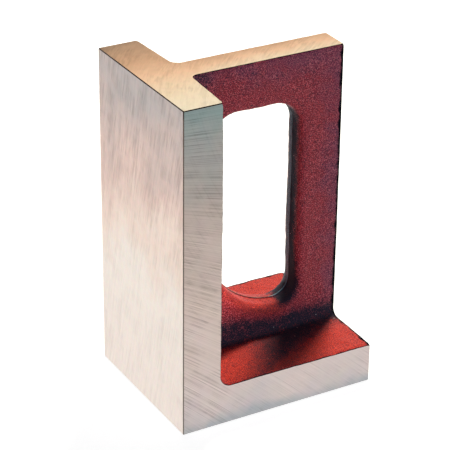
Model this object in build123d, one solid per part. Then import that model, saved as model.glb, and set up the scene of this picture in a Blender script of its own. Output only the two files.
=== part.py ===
from build123d import *
import os
from math import hypot, radians, sqrt, tan

os.makedirs("parts", exist_ok=True)

# Angle plate: one iron casting, left as cast inside and ground square on its outer faces.
# The origin is the middle of the underside. +X runs along the foot, away from the upright,
# +Y runs to the back and +Z is up. Lengths are in millimetres, drafts in degrees.

# Ground envelope
height = 203.2
foot_length = 127.0
width = 101.6

# Walls, at the ground rims
upright_thickness = 25.1
foot_thickness = 25.4
web_thickness = 20.6

# Recesses at the front and the back of the web. Their walls lean, so that the pattern draws.
upright_draft = 3.2
foot_draft = 1.0
recess_corner_radius = 6.5
front_root_fillet = 4.0
back_root_fillet = 5.0

# Window through the web, where it is narrowest
window_to_upright = 16.5
window_to_end = 27.5
window_to_top = 30.0
sill_to_foot = 17.3
window_top_radius = 16.5
window_end_radius = 11.8
window_sweep_radius = 50.0
window_draft = 2.0
window_front_round = 4.5
window_back_round = 8.5

# The mould parts along the middle of the web, and its back half sat a little high
mould_mismatch = 0.8

# Rounded rims of the raw casting, and the metal that grinding takes off each outer face
cast_rim_radius = 4.0
grinding_stock = 1.55

# Flat that the stone leaves along each sharp ground edge
edge_break = 0.5

# Places closer together than this are the same place
tolerance = 0.001

# Places worked out from the sizes above
end_x = foot_length / 2
upright_x = upright_thickness - end_x
rim_y = width / 2
web_y = web_thickness / 2


def envelope(extra):
    """A block of the ground size, larger by extra on every side."""
    block = Box(foot_length + 2 * extra, width + 2 * extra, height + 2 * extra,
                align=(Align.CENTER, Align.CENTER, Align.MIN))
    return Pos(0, 0, -extra) * block


def recess(root_fillet, lift):
    """The space at the back of the web: an outline on the web, carried out along both drafts."""
    lean = Vector(-tan(radians(upright_draft)), 1, -tan(radians(foot_draft)))
    depth = rim_y - web_y
    low_x = upright_x - depth * lean.X
    low_z = foot_thickness + lift - depth * lean.Z
    # The mouth, the top and the far side lie outside the raw casting
    beyond = recess_corner_radius + cast_rim_radius + grinding_stock
    travel = depth + beyond
    outline = RectangleRounded(end_x + beyond - travel * lean.X - low_x,
                               height + beyond - travel * lean.Z - low_z,
                               recess_corner_radius, align=(Align.MIN, Align.MIN))
    space = extrude(Pos(low_x, web_y, low_z) * (Plane.XZ * outline), travel * lean.length, lean)
    web_end = space.faces().sort_by(Axis.Y)[0]
    return fillet(web_end.edges(), root_fillet)


def arc_between(centre, radius, start, end):
    """The short arc from start to end around centre."""
    middle = ((start[0] + end[0]) / 2 - centre[0], (start[1] + end[1]) / 2 - centre[1])
    reach = radius / hypot(*middle)
    through = (centre[0] + middle[0] * reach, centre[1] + middle[1] * reach)
    return ThreePointArc(start, through, end)


def window_outline():
    """The narrowest section of the window, with a wide sweep from the upright to the sill."""
    left = upright_x + window_to_upright
    right = end_x - window_to_end
    top = height - window_to_top
    sill = foot_thickness + sill_to_foot
    upper = window_top_radius
    lower = window_end_radius
    sweep = window_sweep_radius
    end_centre = (right - lower, sill + lower)
    # A sweep too wide to leave any flat sill runs straight into the corner at the end
    overlap = max(left + sweep - end_centre[0], 0)
    rise = sqrt((sweep - lower) ** 2 - overlap ** 2)
    sweep_centre = (left + sweep, end_centre[1] + rise)
    reach = sweep / (sweep - lower)
    sweep_end = (sweep_centre[0] - overlap * reach, sweep_centre[1] - rise * reach)
    corner_start = sweep_end if overlap > 0 else (end_centre[0], sill)
    edges = [
        Line((right, end_centre[1]), (right, top - upper)),
        arc_between((right - upper, top - upper), upper, (right, top - upper), (right - upper, top)),
        Line((right - upper, top), (left + upper, top)),
        arc_between((left + upper, top - upper), upper, (left + upper, top), (left, top - upper)),
        Line((left, top - upper), (left, sweep_centre[1])),
        arc_between(sweep_centre, sweep, (left, sweep_centre[1]), sweep_end),
        arc_between(end_centre, lower, corner_start, (right, end_centre[1])),
    ]
    if overlap == 0:
        edges.append(Line(sweep_end, corner_start))
    return make_face(Curve() + edges)


def window():
    """Both halves of the window's core. They widen outwards from the middle of the web."""
    front = extrude(Plane.XZ * window_outline(), amount=web_thickness, taper=-window_draft)
    back = mirror(front, about=Plane.XZ)
    return front + Pos(0, 0, mould_mismatch) * back


def round_window(casting, side, radius):
    """Round the window's edge on the front (side -1) or the back (side 1) of the web."""
    for face in casting.faces().filter_by(Axis.Y):
        if abs(face.center().Y - side * web_y) < tolerance:
            return fillet(face.inner_wires()[0].edges(), radius)


def lies_outside(edge, block):
    """True for an edge that lies in an outer face of the block."""
    box = edge.bounding_box()
    limits = block.bounding_box()
    for axis in "XYZ":
        for limit in (getattr(limits.min, axis), getattr(limits.max, axis)):
            if abs(getattr(box.min, axis) - limit) + abs(getattr(box.max, axis) - limit) < tolerance:
                return True
    return False


def raw_casting():
    """The casting as it leaves the mould, with rounded rims and a rounded window."""
    block = envelope(grinding_stock)
    back = recess(back_root_fillet, mould_mismatch)
    front = mirror(recess(front_root_fillet, 0), about=Plane.XZ)
    casting = block - back - front - window()
    casting = round_window(casting, -1, window_front_round)
    casting = round_window(casting, 1, window_back_round)
    rims = [edge for edge in casting.edges() if lies_outside(edge, block)]
    return fillet(rims, cast_rim_radius)


def ground_block():
    """What grinding leaves room for: the square envelope, with its sharp edges broken."""
    block = envelope(0)
    return chamfer(block.edges(), edge_break)


angle_plate = raw_casting() & ground_block()
export_step(angle_plate, "parts/angle_plate.step")
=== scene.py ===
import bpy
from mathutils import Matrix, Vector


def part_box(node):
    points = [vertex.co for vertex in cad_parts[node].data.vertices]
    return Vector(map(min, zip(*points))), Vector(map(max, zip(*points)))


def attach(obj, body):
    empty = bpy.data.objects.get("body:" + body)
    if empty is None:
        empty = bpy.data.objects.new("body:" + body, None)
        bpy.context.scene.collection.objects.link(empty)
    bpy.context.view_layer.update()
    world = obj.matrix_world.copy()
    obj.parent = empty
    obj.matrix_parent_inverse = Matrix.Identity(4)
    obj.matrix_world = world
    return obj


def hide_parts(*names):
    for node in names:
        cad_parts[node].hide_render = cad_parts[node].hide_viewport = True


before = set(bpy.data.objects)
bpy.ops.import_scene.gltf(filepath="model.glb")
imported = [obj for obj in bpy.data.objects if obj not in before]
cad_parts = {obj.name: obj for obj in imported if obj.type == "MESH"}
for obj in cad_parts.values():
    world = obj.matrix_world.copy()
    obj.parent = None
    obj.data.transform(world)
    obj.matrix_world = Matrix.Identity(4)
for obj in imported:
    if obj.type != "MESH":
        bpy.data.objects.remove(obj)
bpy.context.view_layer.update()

import math

import bmesh
import bpy
import numpy as np
from mathutils import Matrix, Vector

mm = 0.001

# The casting. Lengths in mm, drafts in degrees. Pairs are for the front and the back of the web.
casting = {
    "uprightThickness": 25.1,
    "footThickness": 25.4,
    "webThickness": 20.6,
    "uprightDraft": 3.2,
    "footDraft": 1.0,
    "cornerRadius": 6.5,
    "rootFillet": (4.0, 5.0),
    "mismatch": 0.8,                 # the back half of the mould sat this much higher
    "rimRadius": 4.0,
    "grindingStock": 1.55,           # what grinding took off the rounded rims
    "edgeBreak": 0.5,                # flat along the sharp ground edges
    "facet": 1.0,                    # size of a facet on the cast skin
}

# The window through the web, at its narrowest
window = {
    "toUpright": 16.5,
    "toEnd": 27.5,
    "toTop": 30.0,
    "sillToFoot": 17.3,
    "topRadius": 16.5,
    "endRadius": 11.8,
    "sweepRadius": 50.0,
    "draft": 2.0,
    "edgeRound": (4.5, 8.5),
    "stepWidth": 0.5,                # of the ledge where the halves of the mould met
    "stepRows": (-0.3, -0.1, 0.1, 0.5),  # rows over it, in shares of its width off the parting line
    "flash": 0.12,                   # height of the fin left along it, on the third of these rows
}

# Marks on the paint: grime with painted shade, thickest in the roots of the recesses and round the end
# side of the window, a painted shadow over the front of the foot, skin that is rubbed bare with a painted
# glint and a painted reflection strip, and clean paint under the sill in the painted lit tone of an upward
# face. Amounts run from 0 to 1, more than 1 is full over a wider stretch, and angles are those of the
# outline's normal, in degrees.
grimeAndShade = {
    "upWeb": (18.5, 9.5),            # how far it reaches up the web, in mm, at the upright and at the end
    "outOnWall": 5.2,                # and out over the foot and the upright
    "inWindow": 4.0,                 # and into the window
    "atFoot": 1.5,                   # its amount at the foot
    "atUpright": 0.75,               # and at the upright
    "atBack": 0.55,                  # share of it that lies at the back of the web
    # A painted shadow of the web's end post over the front of the foot: the x where it fades, is thickest
    # and fades again, at the web and at a distance from it. Then its amount, its reach from the web and its
    # least half width.
    "shadowAtWeb": (-2, 40, 84),
    "shadowFarOut": (-17, -2, 2),
    "farOut": 35.0,
    "paintedShadow": (1.1, 50.0, 4.0),
    "film": (0.36, 26.0, 40.0),      # a thin film of grime and painted shade beyond: its amount and reach, none past this x
    "overFoot": (4.0, 8.0),          # height over the foot up to which both are full, and where they end
    "atWindow": 1.4,                 # amount of painted shade with grime at the end side of the window
    "roundWindow": (1.5, 10.0),      # from full to none, away from the window's parting line
    "lowCorner": (44.0, 78.0, 6.5),  # further between these heights, by this much
    "reachRound": (-108, -60, 30, 75),   # full between the middle two of these angles, from the end
    "slant": 6.0,                    # the angles turn by this much for each mm outwards
    "underStep": 0.5,                # amount of painted shade in the corner under the parting line's step
    "stepCorner": (-0.2, 0.1, 0.3),  # its middle, and full and none from there, in step widths
}
# Rubbed skin in the window, with a painted glint on the fin and a painted reflection strip behind it
worn = {
    "fin": 1.0,                      # how bare the fin in the window is rubbed, with a painted glint on it
    "finPlace": (0.3, 0.08, 0.48),   # its middle, and full and none from there, in step widths
    "strip": 0.90,                   # and a painted reflection strip behind it
    "stripWidth": (0, 0.6, 5.6, 8.0),    # where the strip starts, is full and ends, behind the parting line
    "stripReach": 32.0,              # it fades by this angle from the end's direction
    "wallOnly": 2.5,                 # both end this far outwards of the narrowest section
}
# Under the sill the paint is given the painted lit tone of an upward face, and is clean
sill = {
    "angles": (185, 205, 265, 305),  # the painted lit tone lies between these angles of the outline
    "below": (4.0, 12.0),            # from full to none, this far below the sill
    "litShare": 0.8,                # share of the painted lit tone, of which an upward face has 1
    "clean": 0.7,                    # share of the grime and painted shade that it is free of
}

# Unevenness of the cast skin
relief = {
    "layers": ((38.0, 0.15), (13.0, 0.08), (4.6, 0.05), (2.4, 0.03)),  # wavelength, height in mm
    "waves": 46,
    "fade": 1.6,                     # distance from a ground face over which it sets in
    "seed": 7,
}


# Sizes that follow from the frame and from those above
low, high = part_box("angle_plate")
leftX, endX, rimY, topZ = low.x / mm, high.x / mm, high.y / mm, high.z / mm
footZ = casting["footThickness"]
webY = casting["webThickness"] / 2
webDepth = rimY - webY
uprightX = leftX + casting["uprightThickness"]
leanX = math.tan(math.radians(casting["uprightDraft"]))
leanZ = math.tan(math.radians(casting["footDraft"]))
rimReach = casting["rimRadius"] - casting["grindingStock"]   # a rim curls up to this far from its face
edgeBreak = casting["edgeBreak"]
rimRows = np.array([0, edgeBreak, 1.0, 1.6, rimReach])


def rows(length, nominal=None):
    # Distances from a ground face along a length: close together on the rim, then one per facet.
    # A nominal length gives the front and the back of the web the same number.
    count = max(int(round(((nominal or length) - rimReach) / casting["facet"])), 2)
    return np.concatenate([rimRows, np.linspace(rimReach, length, count + 1)[1:]])


def curl(*distances):
    # How far a rounded rim falls back: r - sqrt(r^2 - a^2 - b^2), where a and b are how far a point
    # lies within the rim's reach of each ground face
    inside = sum(np.maximum(rimReach - distance, 0) ** 2 for distance in distances)
    return casting["rimRadius"] - np.sqrt(casting["rimRadius"] ** 2 - inside)


def recessWall(side):
    # Rows run down the upright, round the corner and out along the foot. Each row is one profile:
    # q and d are how far a point lies off the ground outline and below the ground side, first along
    # the leaning wall, q = slope * d, and then round the fillet, centre + radius * direction.
    fillet = casting["rootFillet"][side]
    radius = casting["cornerRadius"]
    cornerX = uprightX + radius
    cornerZ = footZ + radius + casting["mismatch"] * side
    upRows = 1 - rows(topZ - cornerZ, topZ - footZ) / (topZ - cornerZ)
    outRows = 1 - rows(endX - cornerX)[::-1] / (endX - cornerX)
    turns = np.linspace(0, math.pi / 2, int(radius * math.pi / 2 / casting["facet"]) + 2)[1:-1]
    angle = np.concatenate([0 * upRows, turns, 0 * outRows + math.pi / 2])[:, None]
    up = np.concatenate([upRows, 0 * turns, 0 * outRows])[:, None]
    out = np.concatenate([0 * upRows, 0 * turns, outRows])[:, None]

    slope = np.cos(angle) * leanX + np.sin(angle) * leanZ
    unit = np.sqrt(1 + slope ** 2)
    centreD = webDepth - fillet
    wallShare = rows(centreD)[None, :] / centreD
    wallD = wallShare * (centreD + fillet * slope / unit)
    bend = np.linspace(0, 1, int(round(fillet * math.pi / 2 / casting["facet"])) + 2)[None, 1:]
    bend = bend * np.arctan2(1, slope)
    dirQ = (np.sin(bend) * slope - np.cos(bend)) / unit
    dirD = (np.cos(bend) * slope + np.sin(bend)) / unit
    filletD = centreD + fillet * dirD
    filletQ = slope * centreD + fillet * (unit + dirQ)
    d = np.concatenate([wallD, filletD], axis=1)
    fromWall = np.concatenate([0 * wallD, filletQ - slope * filletD], axis=1)
    dirQ = np.concatenate([0 * wallD - 1, dirQ], axis=1)
    dirD = np.concatenate([0 * wallD, dirD], axis=1)

    def place(fromWall):
        x = cornerX + d * leanX
        z = cornerZ + d * leanZ
        return (x - (radius - fromWall) * np.cos(angle) + (endX - x) * out,
                z - (radius - fromWall) * np.sin(angle) + (topZ - z) * up)

    x, z = place(fromWall)
    back = curl(d, topZ - z, endX - x)
    x, z = place(fromWall + back * dirQ)
    depth = d + back * dirD
    grid = np.stack([x, depth, z], axis=-1)
    grid[0, 0] += (0, edgeBreak / 2, -edgeBreak / 2)
    grid[-1, 0] += (-edgeBreak / 2, edgeBreak / 2, 0)
    grid[..., 1] = (rimY - grid[..., 1]) * (1 if side else -1)
    return grid


def windowOutline():
    # The outline as corner circles: each stop has a circle's centre, radius and the angle of the
    # normal there. Between stops all four change evenly, which gives a line or an arc.
    left, right = uprightX + window["toUpright"], endX - window["toEnd"]
    top, sill = topZ - window["toTop"], footZ + window["sillToFoot"]
    upper, lower, sweep = window["topRadius"], window["endRadius"], window["sweepRadius"]
    endCentre = (right - lower, sill + lower)
    overlap = left + sweep - endCentre[0]
    rise = math.sqrt((sweep - lower) ** 2 - overlap ** 2)
    sweepCentre = (left + sweep, endCentre[1] + rise)
    meeting = 270 - math.degrees(math.atan2(overlap, rise))
    topLeft, topRight = (left + upper, top - upper), (right - upper, top - upper)
    return np.array([(*topLeft, upper, 135), (*topLeft, upper, 180),
                     (*sweepCentre, sweep, 180), (*sweepCentre, sweep, meeting),
                     (*endCentre, lower, meeting), (*endCentre, lower, 360),
                     (*topRight, upper, 360), (*topRight, upper, 405), (*topRight, upper, 450),
                     (*topLeft, upper, 450), (*topLeft, upper, 495)])


def windowPoint(circles, outwards, lift):
    # Point = centre + (radius + outwards) along the normal, all of it raised by lift
    normal = np.radians(circles[:, 3])
    reach = circles[:, 2] + outwards
    x = circles[:, 0] + reach * np.cos(normal)
    z = circles[:, 1] + reach * np.sin(normal) + lift
    return np.stack([x, z], axis=-1)


def webLoop(wall):
    # The web's outer edge, once round from the top of the upright: down the fillet at the upright,
    # out along the fillet at the foot, up the end rim and back along the top rim
    fillet = wall[:, -1][:, [0, 2]]
    (startX, _), (_, endZ) = fillet[0], fillet[-1]
    rise = topZ - rows(topZ - endZ, topZ - footZ)[-2::-1]
    run = endX - rows(endX - startX, endX - uprightX)[1:-1]
    endRim = np.stack([0 * rise + endX, rise], axis=-1)
    topRim = np.stack([run, 0 * run + topZ], axis=-1)
    return np.concatenate([fillet, endRim, topRim])


def topCorner(wall):
    # Where the loop has the web's upper corner, at the end of the plate
    return len(wall) + len(rows(topZ - footZ)) - 2


def loopLength(points):
    gaps = np.linalg.norm(np.diff(points, axis=0, append=points[:1]), axis=1)
    return np.concatenate([[0], np.cumsum(gaps)])


def ringCircles(loop, wall):
    # For each point of the web's edge the circle of the window point that faces it. The stops of the
    # window's outline are matched to the points of the edge that lie level with them.
    stops = windowOutline()
    far = loopLength(loop)[:-1]
    fillet, corner = len(wall), topCorner(wall)

    def level(axis, value, first, last):
        part = slice(first, last)
        order = np.argsort(loop[part, axis])
        return np.interp(value, loop[part, axis][order], far[part][order])

    # Down the upright, out along the foot, up the end and back along the top
    footStart = np.argmin(loop[:fillet].sum(axis=1))
    meeting = windowPoint(stops[3:4], 0, 0)[0, 0]
    matches = [0, *(level(1, stops[i, 1], 0, footStart) for i in (1, 2))]
    matches += [level(0, meeting, footStart, fillet)] * 2
    matches += [*(level(1, stops[i, 1], fillet, corner) for i in (5, 6)), far[corner]]
    matches += [*(level(0, stops[i, 0], corner, len(loop)) for i in (8, 9)), loopLength(loop)[-1]]
    return np.stack([np.interp(far, matches, stops[:, i]) for i in range(4)], axis=-1)


def roundingCentre(side):
    # Where the circle that rounds the window's edge has its centre: outwards and off the middle
    radius = window["edgeRound"][side]
    tilt = math.radians(window["draft"])
    offMiddle = webY - radius
    return offMiddle * math.tan(tilt) + radius / math.cos(tilt), offMiddle


def webFace(side, wall, circles):
    # Straight lines across the web, from its outer edge to the edge of the window's rounding
    outer = webLoop(wall)
    inner = windowPoint(circles, roundingCentre(side)[0], casting["mismatch"] * side)
    reach = window["toTop"]
    share = rows(reach) / reach
    flat = outer[:, None] + (inner - outer)[:, None] * share[None, :, None]
    x, z = flat[..., 0], flat[..., 1]
    y = webY - curl(topZ - z, endX - x)
    grid = np.stack([x, y * (1 if side else -1), z], axis=-1)
    grid[topCorner(wall), 0] += (-edgeBreak / 2, 0, -edgeBreak / 2)
    grid[:len(wall), 0] = wall[:, -1]
    outwards = roundingCentre(side)[0] + np.linalg.norm(flat - inner[:, None], axis=2)
    return grid, outwards


def windowRing(circles):
    # Rows from the front edge to the back edge: round, leaning wall, the step and fin at the parting
    # line, leaning wall, round
    tilt = math.radians(window["draft"])
    profile = []
    for side, sign in ((0, -1), (1, 1)):
        radius = window["edgeRound"][side]
        out, offMiddle = roundingCentre(side)
        turn = np.linspace(0, math.pi / 2 - tilt, int(radius * math.pi / 2 / casting["facet"]) + 2)
        bent = np.stack([out - radius * np.sin(turn), sign * (offMiddle + radius * np.cos(turn))], axis=-1)
        gap = abs(bent[-1, 1])
        away = np.linspace(gap, window["stepWidth"], max(int(gap / casting["facet"]), 2) + 1)[1:]
        straight = np.stack([away * math.tan(tilt), sign * away], axis=-1)
        half = np.concatenate([bent, straight])
        profile.append(half if side == 0 else half[::-1])
    across = window["stepWidth"] * np.array(window["stepRows"])
    step = np.stack([(0, 0, -window["flash"], 0), across], axis=-1)
    profile = np.concatenate([profile[0], step, profile[1]])
    lifts = casting["mismatch"] * np.interp(profile[:, 1], (across[0], across[2]), (0, 1))
    ring = [windowPoint(circles, out, lift) for out, lift in zip(profile[:, 0], lifts)]
    y = np.broadcast_to(profile[:, 1], (len(circles), len(profile)))
    flat = np.stack(ring, axis=1)
    outwards = np.broadcast_to(profile[:, 0], y.shape)
    return np.stack([flat[..., 0], y, flat[..., 1]], axis=-1), outwards


def boxCorner(x, y, z, face):
    # One of three points at a corner of the ground envelope: on the named face, and inset by the
    # broken edges of the other two. x, y and z pick the corner, 0 for low and 1 for high.
    point = np.array([(leftX, endX)[x], (-rimY, rimY)[y], (0, topZ)[z]])
    inset = np.array([(1, -1)[x], (1, -1)[y], (1, -1)[z]]) * edgeBreak
    inset["xyz".index(face)] = 0
    return point + inset


def edgeStrip(start, end, face, nextFace):
    # The broken edge between two faces, from one corner of the ground envelope to another
    return [boxCorner(*start, face), boxCorner(*start, nextFace),
            boxCorner(*end, nextFace), boxCorner(*end, face)]


def groundFaces(walls, webs):
    # Outlines of the ground faces and of the broken edges between them, as (finish, points)
    top = topCorner(walls[0])
    (front, back), (frontWeb, backWeb) = walls, webs
    faces = [
        ("groundTop", [boxCorner(0, 0, 1, "z"), *front[0, 1:], *frontWeb[:top:-1, 0],
                       *backWeb[top + 1:, 0], *back[0, :0:-1], boxCorner(0, 1, 1, "z")]),
        ("groundEnd", [boxCorner(1, 0, 0, "x"), boxCorner(1, 1, 0, "x"), *back[-1, 1:],
                       *backWeb[len(back):top, 0], *frontWeb[top - 1:len(front) - 1:-1, 0],
                       *front[-1, :0:-1]]),
        ("groundWork", [boxCorner(0, y, z, "x") for y, z in ((0, 0), (1, 0), (1, 1), (0, 1))]),
        ("groundBase", [boxCorner(x, y, 0, "z") for x, y in ((0, 0), (1, 0), (1, 1), (0, 1))]),
        ("groundEdge", [*frontWeb[top - 1:top + 2, 0], *backWeb[top + 1:top - 2:-1, 0]]),
        ("groundEdge", edgeStrip((0, 0, 1), (0, 1, 1), "z", "x")),
        ("groundEdge", edgeStrip((0, 0, 0), (0, 1, 0), "z", "x")),
        ("groundEdge", edgeStrip((1, 0, 0), (1, 1, 0), "z", "x")),
    ]
    for y, wall in enumerate(walls):
        faces += [
            (("groundFront", "groundBack")[y], [boxCorner(0, y, 0, "y"), boxCorner(1, y, 0, "y"),
                                                *wall[-2:0:-1, 0], boxCorner(0, y, 1, "y")]),
            ("groundEdge", [boxCorner(0, y, 1, "y"), *wall[1::-1, 0], wall[0, 1],
                            boxCorner(0, y, 1, "z")]),
            ("groundEdge", [boxCorner(1, y, 0, "y"), boxCorner(1, y, 0, "x"), wall[-1, 1],
                            *wall[-1:-3:-1, 0]]),
            ("groundEdge", edgeStrip((0, y, 0), (0, y, 1), "x", "y")),
            ("groundEdge", edgeStrip((0, y, 0), (1, y, 0), "z", "y")),
        ]
        for x, z in ((0, 0), (0, 1), (1, 0)):
            faces.append(("groundEdge", [boxCorner(x, y, z, face) for face in "xyz"]))
    return faces


def quads(shape, start, closed):
    # Faces of a grid whose points are numbered from start, row after row
    index = start + np.arange(shape[0] * shape[1]).reshape(shape[:2])
    index = np.concatenate([index, index[:1]]) if closed else index
    corners = (index[:-1, :-1], index[1:, :-1], index[1:, 1:], index[:-1, 1:])
    return np.stack(corners, axis=-1).reshape(-1, 4)


def unevenness(points):
    # For each layer a sum of cosine waves in all directions, around one wavelength, with the
    # layer's height as its standard deviation
    random = np.random.default_rng(relief["seed"])
    height = np.zeros(len(points))
    for wavelength, amount in relief["layers"]:
        direction = random.normal(size=(relief["waves"], 3))
        direction /= np.linalg.norm(direction, axis=1)[:, None]
        number = 2 * math.pi / (wavelength * random.uniform(0.75, 1.35, relief["waves"]))
        phase = random.uniform(0, 2 * math.pi, relief["waves"])
        waves = np.cos(points @ (direction * number[:, None]).T + phase)
        height += amount * waves.sum(axis=1) * math.sqrt(2 / relief["waves"])
    return height


def within(value, middle, full, none):
    # 1 up to the distance full from the middle, and 0 from the distance none on
    return np.interp(np.abs(value - middle), (full, none), (1, 0))


def marksAtWindow(circles, grid, outwards):
    # For each point of a grid round the window: grime with painted shade, how far it is rubbed bare with a
    # painted glint and reflection, and the painted lit tone under the sill. The painted shade and grime are
    # thick near the parting line where the outline's normal points to the end of the plate, and painted
    # shade lies in the dark corner under the parting line's step.
    near, far = grimeAndShade["roundWindow"]
    bottom, top, extra = grimeAndShade["lowCorner"]
    y, z = grid[..., 1], grid[..., 2]
    further = extra * np.clip((top - z) / (top - bottom), 0, 1)
    close = np.clip((far + further - outwards - np.abs(y)) / (far - near), 0, 1)
    fromEnd = ((circles[:, 3] + 180) % 360 - 180)[:, None] + grimeAndShade["slant"] * outwards
    atEnd = np.interp(fromEnd, grimeAndShade["reachRound"], (0, 1, 1, 0))
    step = y / window["stepWidth"]
    corner = grimeAndShade["underStep"] * within(step, *grimeAndShade["stepCorner"])
    dirtAndShade = np.maximum(grimeAndShade["atWindow"] * close * atEnd, corner)

    # A painted glint on the rubbed fin, and a painted reflection strip behind it
    fin = worn["fin"] * within(step, *worn["finPlace"])
    behind = np.interp(y, worn["stripWidth"], (0, 1, 1, 0))
    strip = worn["strip"] * behind * np.clip(1 - (fromEnd / worn["stripReach"]) ** 2, 0, 1)
    glintAndBare = np.maximum(fin, strip) * (outwards < worn["wallOnly"])

    # The painted lit tone on the front under the sill
    atSill = np.interp(circles[:, 3], sill["angles"], (0, 1, 1, 0))[:, None]
    litTone = atSill * np.interp(outwards, sill["below"], (1, 0)) * (y < 0)
    return np.stack([dirtAndShade, glintAndBare, litTone], axis=-1).reshape(-1, 3)


def grimeAndShadeInRoots(points):
    # Grime and painted shade in the roots: e^-(a^2 + b^2), where a is the height over the wall and b the
    # distance from the web, each as a share of its reach. On the front of the foot also the painted shadow
    # of the end post and the film of grime and painted shade.
    x, y, z = points.T
    off = np.abs(y) - webY
    b = np.maximum(off, 0) / grimeAndShade["outOnWall"]
    inside = np.clip(1 + off / grimeAndShade["inWindow"], 0, 1)
    upWeb = np.interp(x, (uprightX, endX), grimeAndShade["upWeb"])
    atFoot = grimeAndShade["atFoot"] * np.exp(-(np.maximum(z - footZ, 0) / upWeb) ** 2 - b ** 2)
    atUpright = grimeAndShade["atUpright"] * np.exp(-(np.maximum(x - uprightX, 0) / upWeb) ** 2 - b ** 2)
    laid = np.minimum(np.maximum(atFoot, atUpright), 1) * inside * np.where(y < 0, 1, grimeAndShade["atBack"])

    atWeb, farOut = (np.array(grimeAndShade[name])[:, None] for name in ("shadowAtWeb", "shadowFarOut"))
    left, middle, right = atWeb + (farOut - atWeb) * off / grimeAndShade["farOut"]
    amount, reach, narrowest = grimeAndShade["paintedShadow"]
    halfWidth = np.maximum(np.where(x < middle, middle - left, right - middle), narrowest)
    paintedShadow = amount * np.exp(-((x - middle) / halfWidth) ** 2 - (off / reach) ** 2)
    amount, reach, past = grimeAndShade["film"]
    film = amount * np.exp(-(off / reach) ** 2) * np.clip((past - x) / past, 0, 1)
    onFoot = np.interp(z - footZ, grimeAndShade["overFoot"], (1, 0)) * (off > 0) * (y < 0)
    return np.maximum(laid, np.maximum(paintedShadow, film) * onFoot)


def toGround(points):
    # Distance of each point from the nearest ground face
    x, y, z = points.T
    return np.stack([endX - x, x - leftX, rimY - np.abs(y), z, topZ - z], axis=-1)


finishes = ("castPaint", "groundFront", "groundBack", "groundTop", "groundEnd", "groundWork",
            "groundBase", "groundEdge")


def closeSkin(mesh):
    # Faces point outwards, and the count of open edges shows that the skin is closed
    shell = bmesh.new()
    shell.from_mesh(mesh)
    bmesh.ops.recalc_face_normals(shell, faces=shell.faces)
    print("plate: open edges", sum(not edge.is_manifold for edge in shell.edges))
    shell.to_mesh(mesh)
    shell.free()


def roughened(points, normal, isCast, gaps):
    # The cast skin moves along its normal, less and less towards a ground face, and never out of it
    move = normal * unevenness(points)[:, None] * isCast[:, None]
    endGap, frontGap, topGap = gaps[:, 0], gaps[:, 2], gaps[:, 4]
    move *= np.clip(np.stack([endGap, frontGap, topGap], axis=-1) / relief["fade"], 0, 1)
    return points + move


def setMark(mesh, name, values):
    mesh.attributes.new(name, "FLOAT", "POINT").data.foreach_set("value", values)


def buildPlate():
    walls = [recessWall(0), recessWall(1)]
    circles = ringCircles(webLoop(walls[0]), walls[0])
    around = [webFace(0, walls[0], circles), webFace(1, walls[1], circles), windowRing(circles)]
    webs = [grid for grid, outwards in around[:2]]

    points, marks, faces, count = [], [], [], 0
    for grid, outwards in [(wall, None) for wall in walls] + around:
        inWindow = outwards is not None
        faces += quads(grid.shape, count, inWindow).tolist()
        points.append(grid.reshape(-1, 3))
        marks.append(marksAtWindow(circles, grid, outwards) if inWindow
                     else np.zeros((len(points[-1]), 3)))
        count += len(points[-1])
    castPoints, finish = count, [0] * len(faces)
    for name, outline in groundFaces(walls, webs):
        faces.append(list(range(count, count + len(outline))))
        points.append(np.array(outline))
        marks.append(np.zeros((len(outline), 3)))
        finish.append(finishes.index(name))
        count += len(outline)

    # Points that lie together become one, so that the skin is closed
    points, marks = np.concatenate(points), np.concatenate(marks)
    _, first, same = np.unique(np.round(points, 4), axis=0, return_index=True, return_inverse=True)
    same = same.reshape(-1)
    points, (dirtAndShade, glintAndBare, litTone) = points[first], marks[first].T
    isCast = np.isin(np.arange(len(points)), same[:castPoints])
    faces = [same[face].tolist() for face in faces]
    print("plate:", len(points), "points,", len(faces), "faces")

    mesh = bpy.data.meshes.new("anglePlate")
    mesh.from_pydata((points * mm).tolist(), [], faces)
    mesh.polygons.foreach_set("material_index", finish)
    closeSkin(mesh)
    normal = np.zeros(points.size)
    mesh.vertices.foreach_get("normal", normal)
    normal = normal.reshape(-1, 3)
    gaps = toGround(points)
    mesh.vertices.foreach_set("co", (roughened(points, normal, isCast, gaps) * mm).ravel())
    mesh.polygons.foreach_set("use_smooth", np.array(finish) == 0)
    setMark(mesh, "toGround", gaps.min(axis=1))
    # Grime with painted shade, the rubbed skin with its painted glint and reflection, and the painted lit
    # tone of upward faces
    setMark(mesh, "grimeAndShade", np.maximum(dirtAndShade, grimeAndShadeInRoots(points) * (1 - sill["clean"] * litTone)))
    setMark(mesh, "worn", glintAndBare)
    setMark(mesh, "litUpward", np.clip(normal[:, 2] + sill["litShare"] * litTone, 0, 1))
    mesh.update()
    plate = bpy.data.objects.new("angle_plate_casting", mesh)
    bpy.context.scene.collection.objects.link(plate)
    return plate


def addNode(tree, kind, links=(), **settings):
    # A node with its settings, and its inputs linked to the given sockets
    made = tree.nodes.new("ShaderNode" + kind)
    for name, value in settings.items():
        setattr(made, name, value)
    for key, value in dict(links).items():
        if isinstance(value, bpy.types.NodeSocket):
            tree.links.new(value, made.inputs[key])
        else:
            made.inputs[key].default_value = value
    return made


def newMaterial(name):
    material = bpy.data.materials.new(name)
    material.use_nodes = True
    tree = material.node_tree
    tree.nodes.clear()
    output = addNode(tree, "OutputMaterial")
    shader = addNode(tree, "BsdfPrincipled")
    tree.links.new(shader.outputs[0], output.inputs["Surface"])
    return material, tree, shader


def millimetres(tree):
    # Object coordinates in mm
    place = addNode(tree, "TexCoord").outputs["Object"]
    return addNode(tree, "Mapping", {"Vector": place, "Scale": (1 / mm, 1 / mm, 1 / mm)}).outputs[0]


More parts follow.
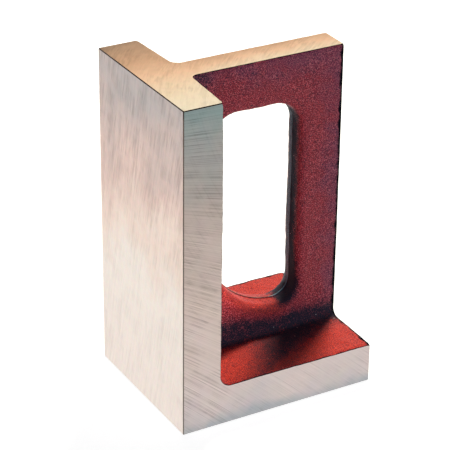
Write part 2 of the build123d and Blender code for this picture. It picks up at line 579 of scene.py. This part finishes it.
def noise(tree, place, size, detail=2.0, rough=0.5, kind="Fac", **extra):
    # Noise whose blotches are about the given size in mm
    links = {"Vector": place, "Scale": 1 / size, "Detail": detail, "Roughness": rough, **extra}
    return addNode(tree, "TexNoise", links).outputs[kind]


def ramp(tree, value, low, high, start=0.0, end=1.0, smooth=False):
    kind = "SMOOTHSTEP" if smooth else "LINEAR"
    links = {"Value": value, "From Min": low, "From Max": high, "To Min": start, "To Max": end}
    return addNode(tree, "MapRange", links, interpolation_type=kind).outputs[0]


def blendColors(tree, share, first, second, mode="MIX"):
    made = addNode(tree, "Mix", {"Factor": share}, data_type="RGBA", blend_type=mode)
    for key, value in ((6, first), (7, second)):
        if isinstance(value, bpy.types.NodeSocket):
            tree.links.new(value, made.inputs[key])
        else:
            made.inputs[key].default_value = (*value, 1)
    return made.outputs[2]


def math2(tree, operation, first, second=0.0, third=0.0):
    return addNode(tree, "Math", {0: first, 1: second, 2: third}, operation=operation).outputs[0]


def times(tree, first, second):
    return math2(tree, "MULTIPLY", first, second)


def timesPlus(tree, value, factor, extra):
    return math2(tree, "MULTIPLY_ADD", value, factor, extra)


def minus(tree, first, second):
    return math2(tree, "SUBTRACT", first, second)


def vector2(tree, operation, inputs):
    return addNode(tree, "VectorMath", inputs, operation=operation).outputs[0]


def split(tree, vector):
    return addNode(tree, "SeparateXYZ", {0: vector}).outputs


def join(tree, *parts):
    return addNode(tree, "CombineXYZ", dict(enumerate(parts))).outputs[0]


def meshMark(tree, name):
    # One of the numbers that the mesh holds for each point
    return addNode(tree, "Attribute", attribute_name=name).outputs["Fac"]


def strongest(tree, *values):
    # The largest of several values
    most = values[0]
    for value in values[1:]:
        most = math2(tree, "MAXIMUM", most, value)
    return most


def colorBand(tree, place, tones):
    # Colors along a line, as (place, color) from its low end to its high end
    low, high = tones[0][0], tones[-1][0]
    made = addNode(tree, "ValToRGB", {0: ramp(tree, place, low, high)})
    band = made.color_ramp.elements
    for number, (spot, color) in enumerate(tones):
        share = (spot - low) / (high - low)
        stop = band[number] if number < 2 else band.new(share)
        stop.position, stop.color = share, (*color, 1)
    return made.outputs[0]


# Paint over the sand-cast skin. Sizes are in mm.
paint = {
    "red": (0.70, 0.043, 0.064),
    "litTone": (0.70, 0.056, 0.034),    # painted light: the orange lit tone where the paint faces up, and under the sill
    "deep": (0.27, 0.011, 0.022),     # between the grains
    "blue": (0.26, 0.042, 0.110),     # where the coat on the web is thin, mostly near the ground rims
    "pale": (0.95, 0.35, 0.40),       # tops of the grain, worn, with painted glints on them
    "glintAndBare": (0.90, 0.60, 0.48),       # where it is rubbed off, with a painted glint
    "grazingSheen": (0.30, 0.56, 0.72),       # painted sheen of the light strip in the window, where grime lies
    # Color of grime and of painted shade
    "grimeAndShade": (0.021, 0.034, 0.056),
    "dust": (0.037, 0.033, 0.052),    # its lighter patches
    "fleck": (0.70, 0.68, 0.66),      # specks that lie on it
    "scale": (0.006, 0.007, 0.014),   # bare cast scale along the rims
    "grain": 0.6,                     # size of the sand's grain
    "clump": 5.0,                     # of the patches where it is coarser
    "cloud": 24.0,                    # and of those where the coat is thinner
    "fleckGap": 7.0,                  # distance between the specks
    "fleckEdge": (0.06, 0.03),        # how far they reach, and where they are full, in shares of it
    "grainHeight": 0.24,
    "clumpShare": 0.24,               # of the coarser patches in the speckle of paint and of grime with painted shade
    # These tones start and are full at the first two levels of the grain's noise. Then comes their
    # strength where the paint faces sideways or down, and where it faces up and has the painted lit tone.
    "deepTone": (0.60, 0.40, 1.0, 0.6),
    "paleTone": (0.52, 0.66, 0.74, 0.12),
    "pitTone": (0.50, 0.37, 1.0, 0.8),
    "dustTone": (0.40, 0.62),
    "glintBareTone": (0.32, 0.48, 0.1, 1.0),  # here the last two are its strength at the first two levels
    "dirtShadeGrain": 3.0,                # how much less grime and painted shade lies on the tops of the grain
    "dirtShadeLevel": (1.32, 1.70),       # what makes up for it, where the patches are fine and coarse
    "dirtShadeSpan": (0.10, 0.90),        # amounts at which the grime and painted shade start and are full
    "dirtShadeCover": 0.985,              # how much of the paint it then hides
    "roughness": (0.58, 0.38),        # in the hollows and on the tops of the grain
    "gloss": 0.24,
    "dirtShadeGloss": 0.06,
    "dirtShadeTint": (0.28, 0.62, 1.0),   # color of the gloss on the grime and painted shade
    "rimLine": (0.4, 2.0),            # width of the bare line along the front rims and the others
    "rimRagged": 1.0,                 # how much its edge wanders
    "rimEdge": (0.6, 1.5),            # it is full up to the first share of its width, gone at the second
    "cloudReach": 12.0,               # how far the clouds of the coat move the edge of the thin part
    "thinNear": (3.0, 25.0),          # the coat is thinnest up to the first distance from a ground rim
    "thinShare": (0.85, 0.05),        # there, and from the second distance on
    "thinFromFoot": (4, 20),          # over the foot it starts at the first height, full at the second
}


def grainTone(tree, level, litUpward, name):
    # Share of a tone that follows the grain, and is weaker where the paint has the painted lit tone of an
    # upward face
    none, full, beside, above = paint[name]
    return times(tree, ramp(tree, level, none, full), ramp(tree, litUpward, 0, 1, beside, above))


def paintCoat(tree, place, grain, speck):
    # Red paint, in the painted lit tone where it faces up: deeper between the grains, bluer where it is
    # thin, pale on their tops with painted glints, dark in pits
    litUpward = meshMark(tree, "litUpward")
    color = blendColors(tree, litUpward, paint["red"], paint["litTone"])
    color = blendColors(tree, grainTone(tree, speck, litUpward, "deepTone"), color, paint["deep"])

    cloud = ramp(tree, noise(tree, place, paint["cloud"], 4, 0.6), 0.36, 0.64, smooth=True)
    fromRim = timesPlus(tree, cloud, paint["cloudReach"], meshMark(tree, "toGround"))
    thin = ramp(tree, fromRim, *paint["thinNear"], *paint["thinShare"], True)
    low, high = paint["thinFromFoot"]
    thin = times(tree, thin, ramp(tree, split(tree, place)[2], footZ + low, footZ + high))
    color = blendColors(tree, thin, color, paint["blue"])

    # Pale tops of the grain: wear with painted glints
    color = blendColors(tree, grainTone(tree, grain, litUpward, "paleTone"), color, paint["pale"])
    return blendColors(tree, grainTone(tree, grain, litUpward, "pitTone"), color, paint["grimeAndShade"])


def grimeAndShadeOver(tree, place, color, grain, clump, speck):
    # Grime and painted shade laid over a color, less of it on the tops of the grain. Returns the color and
    # its share.
    level = ramp(tree, clump, 0.3, 0.7, *paint["dirtShadeLevel"])
    uneven = timesPlus(tree, grain, -paint["dirtShadeGrain"], level)
    dirtAndShade = ramp(tree, math2(tree, "ADD", meshMark(tree, "grimeAndShade"), uneven), *paint["dirtShadeSpan"])
    soilAndShade = blendColors(tree, ramp(tree, speck, *paint["dustTone"]), paint["grimeAndShade"], paint["dust"])
    color = blendColors(tree, times(tree, dirtAndShade, paint["dirtShadeCover"]), color, soilAndShade)
    cells = addNode(tree, "TexVoronoi", {"Vector": place, "Scale": 1 / paint["fleckGap"]})
    fleck = ramp(tree, cells.outputs["Distance"], *paint["fleckEdge"])
    fleck = times(tree, fleck, ramp(tree, dirtAndShade, 0.5, 0.9))
    return blendColors(tree, fleck, color, paint["fleck"]), dirtAndShade


def bareRim(tree, place, clump):
    # 1 on the ragged line of bare scale along the ground faces. It is wider at the end and the back.
    narrow, wide = paint["rimLine"]
    full, none = paint["rimEdge"]
    ragged = paint["rimRagged"]
    parts = split(tree, place)
    hidden = math2(tree, "MINIMUM", minus(tree, endX, parts[0]), minus(tree, rimY, parts[1]))
    edge = math2(tree, "MINIMUM", meshMark(tree, "toGround"), times(tree, hidden, narrow / wide))
    edge = math2(tree, "ADD", edge, timesPlus(tree, clump, ragged, -ragged / 2))
    return ramp(tree, edge, narrow * full, narrow * none, 1, 0, True)


def castPaint():
    material, tree, shader = newMaterial("castPaint")
    place = millimetres(tree)
    grain = noise(tree, place, paint["grain"], 3, 0.75)
    clump = noise(tree, place, paint["clump"], 3, 0.6)
    share = paint["clumpShare"]
    speck = math2(tree, "ADD", grain, timesPlus(tree, clump, share, -share / 2))
    color = paintCoat(tree, place, grain, speck)
    color, dirtAndShade = grimeAndShadeOver(tree, place, color, grain, clump, speck)
    # The rubbed skin with its painted glint, and where grime lies the painted sheen of the window's light
    # strip
    glintAndBare = times(tree, meshMark(tree, "worn"), ramp(tree, speck, *paint["glintBareTone"]))
    color = blendColors(tree, glintAndBare, color, blendColors(tree, dirtAndShade, paint["glintAndBare"], paint["grazingSheen"]))
    rim = bareRim(tree, place, clump)
    color = blendColors(tree, rim, color, paint["scale"])
    rough = ramp(tree, grain, 0.3, 0.7, *paint["roughness"])
    gloss = ramp(tree, dirtAndShade, 0, 1, paint["gloss"], paint["dirtShadeGloss"])
    tint = blendColors(tree, dirtAndShade, (1.0, 1.0, 1.0), paint["dirtShadeTint"])
    bump = {"Strength": 1.0, "Distance": paint["grainHeight"] * mm, "Height": speck}
    tree.links.new(color, shader.inputs["Base Color"])
    tree.links.new(rough, shader.inputs["Roughness"])
    tree.links.new(times(tree, gloss, ramp(tree, rim, 0, 1, 1, 0)), shader.inputs["Specular IOR Level"])
    tree.links.new(tint, shader.inputs["Specular Tint"])
    tree.links.new(addNode(tree, "Bump", bump).outputs[0], shader.inputs["Normal"])
    return material


# Ground iron, face by face. Tones are (place on the axis in mm, color); on the top, the work face, the
# front, the back and the end they are painted reflection and light: on the top light at the front and dark
# brown at the back, elsewhere pale or warm low down and grey at the top. The wheel's marks are sets of
# (path, width, length, change of tone, level of their noise at which they start), in mm. A path is
# "round" a centre, or a "fan" whose slope is its depth below a height, divided by a reach.
# A "worn" face loses part of its marks between two places along it, "atBase" paints shade along its
# low edge, and "closer" draws the tones together over the narrow web, between two places and by a factor.
# Painted reflection on the front, the back and the end: warm low down, grey-green at the top
silver = ((0, (0.60, 0.535, 0.525)), (30, (0.70, 0.59, 0.55)), (80, (0.66, 0.535, 0.475)),
          (140, (0.50, 0.42, 0.375)), (178, (0.36, 0.355, 0.335)), (203, (0.26, 0.325, 0.315)))
fanned = ("fan", 206, 213)
ground = {
    "groundWork": {
        "plane": "yz", "axis": "z", "drift": 30, "mottle": (3.4, 0.07), "worn": ("z", 150, 90),
        "tones": ((0, (0.96, 0.84, 0.76)), (75, (0.99, 0.89, 0.80)), (110, (0.97, 0.79, 0.68)),
                  (140, (0.88, 0.665, 0.58)), (170, (0.72, 0.575, 0.52)), (203, (0.58, 0.515, 0.49))),
        "marks": ((("round", 1500, 400), 1.5, 30, -0.10, 0.42),
                  (("round", -2200, -500), 0.9, 18, -0.11, 0.46),
                  (("round", 2200, 300), 7.0, 90, -0.04, 0.42)),
    },
    "groundFront": {
        "plane": "xz", "axis": "z", "drift": 20, "mottle": (9.0, 0.05), "tones": silver,
        "worn": ("x", -45, 25), "atBase": (0.72, 0.83, 0.87),
        "marks": ((fanned, 1.0, 170, -0.26, 0.50), (fanned, 0.6, 110, -0.16, 0.50),
                  (fanned, 1.4, 130, 0.10, 0.54), (("round", 160, 260), 1.2, 90, -0.06, 0.50)),
    },
    "groundBack": {
        "plane": "xz", "axis": "z", "drift": 20, "mottle": (9.0, 0.05), "tones": silver,
        "marks": ((("round", 190, -120), 1.0, 170, -0.26, 0.50),
                  (("round", 210, -90), 0.6, 110, -0.16, 0.50),
                  (("round", -160, 260), 1.2, 90, -0.06, 0.50)),
    },
    # The top is painted light at the front and dark at the back, a painted reflection
    "groundTop": {
        "plane": "xy", "axis": "y", "drift": 9, "mottle": (4.0, 0.06), "closer": (-40, -16, 2.3),
        "tones": ((-51, (1.0, 0.86, 0.61)), (-22, (1.0, 0.77, 0.50)), (0, (0.97, 0.61, 0.355)),
                  (20, (0.73, 0.42, 0.22)), (51, (0.36, 0.21, 0.105))),
        "marks": ((("round", 190, -175), 1.9, 13, -0.09, 0.42),
                  (("round", 200, -180), 1.0, 9, -0.08, 0.46)),
    },
    "groundEnd": {
        "plane": "yz", "axis": "z", "drift": 20, "mottle": (9.0, 0.05), "tones": silver,
        "marks": ((("round", 60, -240), 1.0, 150, -0.24, 0.50),
                  (("round", 80, -260), 0.6, 90, -0.15, 0.50)),
    },
    "groundBase": {
        "plane": "xy", "axis": "x", "drift": 30, "mottle": (9.0, 0.05),
        "tones": ((-64, (0.56, 0.51, 0.48)), (64, (0.66, 0.58, 0.53))),
        "marks": ((("round", -260, 240), 1.0, 170, -0.26, 0.50),
                  (("round", -250, 250), 0.6, 90, -0.16, 0.50)),
    },
    "groundEdge": {
        "plane": "xy", "axis": "z", "drift": 10, "mottle": (3.0, 0.2),
        "tones": ((0, (0.20, 0.17, 0.15)), (195, (0.13, 0.10, 0.085)), (203, (0.03, 0.02, 0.016))),
        "marks": ((("round", -160, 140), 1.0, 10, -0.2, 0.5),),
    },
}


# What all ground faces share. Sizes are in mm.
iron = {
    "driftSize": 28.0,               # of the patches that shift the tones along a face
    "patchSize": 13.0,               # of the patches where the marks are faint
    "faint": (0.35, 1.0),            # what is left of the marks there, and between them
    "wornShare": 0.45,               # and what is left on the worn part of a face
    "crest": 0.16,                   # how softly a mark starts, in levels of its noise
    "baseTint": 7.0,                 # height of the painted shade along the low edge
    "baseRagged": (20.0, -5.0, 2.0),     # size of its waves, and from how far down to how far up
    "roughness": (0.55, 0.40),       # in the marks and beside them
    "markHeight": 0.03,
}


def markPath(tree, parts, plane, path):
    # Two numbers for each point: across the marks, and along them
    kind, one, two = path
    first, second = (parts["xyz".index(axis)] for axis in plane)
    # Along a mark of a fan, depth * e^(-place / reach) stays the same
    if kind == "fan":
        narrowing = math2(tree, "EXPONENT", times(tree, first, -1 / two))
        return times(tree, minus(tree, one, second), narrowing), first
    # Distance from the centre, and angle * distance. The angle is counted from the middle of the
    # face, so that it never jumps on it.
    across, up = minus(tree, first, one), minus(tree, second, two)
    squares = (math2(tree, "POWER", side, 2.0) for side in (across, up))
    distance = math2(tree, "SQRT", math2(tree, "ADD", *squares))
    turned = {"Vector": join(tree, across, up), "Angle": -math.atan2(-two, -one)}
    turned = addNode(tree, "VectorRotate", turned, rotation_type="Z_AXIS").outputs[0]
    turned = split(tree, turned)
    return distance, times(tree, math2(tree, "ARCTAN2", turned[1], turned[0]), distance)


def wheelMarks(tree, parts, plane, mark, patches):
    # Noise on (across / width, along / length): its crests are fine broken lines
    path, width, length, change, start = mark
    across, along = markPath(tree, parts, plane, path)
    across, along = math2(tree, "DIVIDE", across, width), math2(tree, "DIVIDE", along, length)
    crest = noise(tree, join(tree, across, along, width * 7.0), 1.0, 2, 0.55)
    crest = ramp(tree, crest, start, start + iron["crest"], smooth=True)
    return timesPlus(tree, times(tree, crest, patches), change, 1.0)


def groundTone(tree, place, parts, look):
    # Painted reflection and light: color along the face's axis, drifting and mottled
    drift = noise(tree, place, iron["driftSize"], 4, 0.6)
    drift = ramp(tree, drift, 0.2, 0.8, -look["drift"], look["drift"])
    level = parts["xyz".index(look["axis"])]
    if "closer" in look:
        begin, end, factor = look["closer"]
        level = times(tree, level, ramp(tree, parts[0], begin, end, 1.0, factor, True))
    color = colorBand(tree, math2(tree, "ADD", level, drift), look["tones"])
    size, strength = look["mottle"]
    blotch = noise(tree, place, size, 4, 0.65, "Color")
    blotch = {0: blotch, 1: (strength * 2,) * 3, 2: (1 - strength,) * 3}
    color = vector2(tree, "MULTIPLY", {0: color, 1: vector2(tree, "MULTIPLY_ADD", blotch)})
    # Painted shade along the low edge
    if "atBase" in look:
        size, down, up = iron["baseRagged"]
        ragged = ramp(tree, noise(tree, place, size), 0.3, 0.7, down, up)
        low = ramp(tree, math2(tree, "ADD", parts[2], ragged), 0, iron["baseTint"])
        tint = blendColors(tree, low, look["atBase"], (1, 1, 1))
        color = vector2(tree, "MULTIPLY", {0: color, 1: tint})
    return color


def groundIron(name):
    look = ground[name]
    material, tree, shader = newMaterial(name)
    place = millimetres(tree)
    parts = split(tree, place)
    patches = ramp(tree, noise(tree, place, iron["patchSize"], 2, 0.5), 0.38, 0.60, *iron["faint"], True)
    if "worn" in look:
        axis, begin, end = look["worn"]
        left = ramp(tree, parts["xyz".index(axis)], begin, end, 1.0, iron["wornShare"])
        patches = times(tree, patches, left)
    lines = 1.0
    for mark in look["marks"]:
        lines = times(tree, lines, wheelMarks(tree, parts, look["plane"], mark, patches))
    color = groundTone(tree, place, parts, look)
    color = vector2(tree, "SCALE", {0: color, "Scale": lines})
    tree.links.new(color, shader.inputs["Base Color"])
    shader.inputs["Metallic"].default_value = 1.0
    tree.links.new(ramp(tree, lines, 0.6, 1.0, *iron["roughness"]), shader.inputs["Roughness"])
    bump = addNode(tree, "Bump", {"Strength": 0.6, "Distance": iron["markHeight"] * mm, "Height": lines})
    tree.links.new(bump.outputs[0], shader.inputs["Normal"])
    return material


plate = buildPlate()
plate.data.materials.append(castPaint())
for name in finishes[1:]:
    plate.data.materials.append(groundIron(name))
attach(plate, "root")
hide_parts("angle_plate")
print("materials done")


# Camera: where the photo was taken from, with its lens
camera = {
    "spot": (-0.52646, -0.90402, 0.63388),
    "aim": (-0.00707, 0.00210, 0.09830),
    "roll": 0.636,
    "lens": 160.46,
    "sensor": 36.0,
}


def addCamera():
    data = bpy.data.cameras.new("camera")
    data.lens, data.sensor_width = camera["lens"], camera["sensor"]
    data.clip_end = 20
    eye = bpy.data.objects.new("camera", data)
    view = Vector(camera["aim"]) - Vector(camera["spot"])
    turn = view.to_track_quat("-Z", "Y").to_matrix() @ Matrix.Rotation(math.radians(camera["roll"]), 3, "Z")
    eye.matrix_world = Matrix.Translation(camera["spot"]) @ turn.to_4x4()
    bpy.context.scene.collection.objects.link(eye)
    bpy.context.scene.camera = eye


# Studio: round soft lamps, which don't show in gloss. Lengths are in m, spreads in degrees and powers
# in watts. The sill lamp is a narrow beam on the sill of the window and on the web below it.
studio = {
    "lamps": {
        "keyLamp": {"spot": (0.95, 0.95, 2.2), "aim": (0, 0, 0.09), "size": 0.6, "spread": 180,
                    "power": 84, "color": (1.0, 0.93, 0.66)},
        "frontLamp": {"spot": (0.25, -1.9, 0.22), "aim": (0, 0, 0.09), "size": 0.5, "spread": 180,
                      "power": 8, "color": (0.80, 0.80, 1.0)},
        "sillLamp": {"spot": (0.16, -0.33, 0.23), "aim": (-0.014, -0.010, 0.072), "size": 0.04,
                     "spread": 7, "power": 0.005, "color": (1.0, 0.72, 0.56)},
    },
    "sky": (0.75, 0.88, 1.0),
    "skyPower": 0.04,
    "overhead": 0.65,                # how much of the white gloss sees straight up
    "overheadFrom": (0.6, 0.9),      # heights in the sky between which it fades to that
    "floorSize": 6.0,
    "floorColor": (0.45, 0.46, 0.48),
    "floorRoughness": 0.8,
    "floorGlow": 0.90,               # white for the camera, with the plate's shadow left faint
}


def addLamps():
    for name, facts in studio["lamps"].items():
        data = bpy.data.lights.new(name, "AREA")
        data.shape, data.size, data.spread = "DISK", facts["size"], math.radians(facts["spread"])
        data.energy, data.color = facts["power"], facts["color"]
        lamp = bpy.data.objects.new(name, data)
        view = Vector(facts["aim"]) - Vector(facts["spot"])
        turn = view.to_track_quat("-Z", "Y").to_matrix().to_4x4()
        lamp.matrix_world = Matrix.Translation(facts["spot"]) @ turn
        lamp.visible_glossy = False
        lamp.visible_camera = False
        bpy.context.scene.collection.objects.link(lamp)


def addFloor():
    half = studio["floorSize"] / 2
    mesh = bpy.data.meshes.new("floor")
    corners = [(-half, -half, 0), (half, -half, 0), (half, half, 0), (-half, half, 0)]
    mesh.from_pydata(corners, [], [(0, 1, 2, 3)])
    floor = bpy.data.objects.new("floor", mesh)
    bpy.context.scene.collection.objects.link(floor)
    material, tree, shader = newMaterial("floorWhite")
    shader.inputs["Base Color"].default_value = (*studio["floorColor"], 1)
    shader.inputs["Roughness"].default_value = studio["floorRoughness"]
    path = addNode(tree, "LightPath").outputs
    glow = times(tree, path["Is Camera Ray"], studio["floorGlow"])
    glow = addNode(tree, "Emission", {"Strength": glow})
    lit = addNode(tree, "AddShader", {0: shader.outputs[0], 1: glow.outputs[0]})
    white = addNode(tree, "Emission", {"Strength": 1.0})
    gloss = strongest(tree, path["Is Glossy Ray"], path["Is Transmission Ray"])
    mix = addNode(tree, "MixShader", {0: gloss, 1: lit.outputs[0], 2: white.outputs[0]})
    tree.links.new(mix.outputs[0], tree.nodes["Material Output"].inputs["Surface"])
    mesh.materials.append(material)


def addWorld():
    world = bpy.data.worlds.new("studio")
    world.use_nodes = True
    tree = world.node_tree
    tree.nodes.clear()
    output = addNode(tree, "OutputWorld")
    path = addNode(tree, "LightPath").outputs
    soft = addNode(tree, "Background", {"Color": (*studio["sky"], 1), "Strength": studio["skyPower"]})
    up = split(tree, addNode(tree, "TexCoord").outputs["Generated"])[2]
    fading = ramp(tree, up, *studio["overheadFrom"], 1.0, studio["overhead"], True)
    level = strongest(tree, fading, path["Is Camera Ray"])
    white = addNode(tree, "Background", {"Color": (1, 1, 1, 1), "Strength": level})
    rays = (path[f"Is {kind} Ray"] for kind in ("Camera", "Glossy", "Transmission"))
    mix = addNode(tree, "MixShader", {0: strongest(tree, *rays), 1: soft.outputs[0], 2: white.outputs[0]})
    tree.links.new(mix.outputs[0], output.inputs["Surface"])
    bpy.context.scene.world = world


addCamera()
addLamps()
addFloor()
addWorld()
bpy.context.scene.view_settings.view_transform = "Standard"
print("studio done")
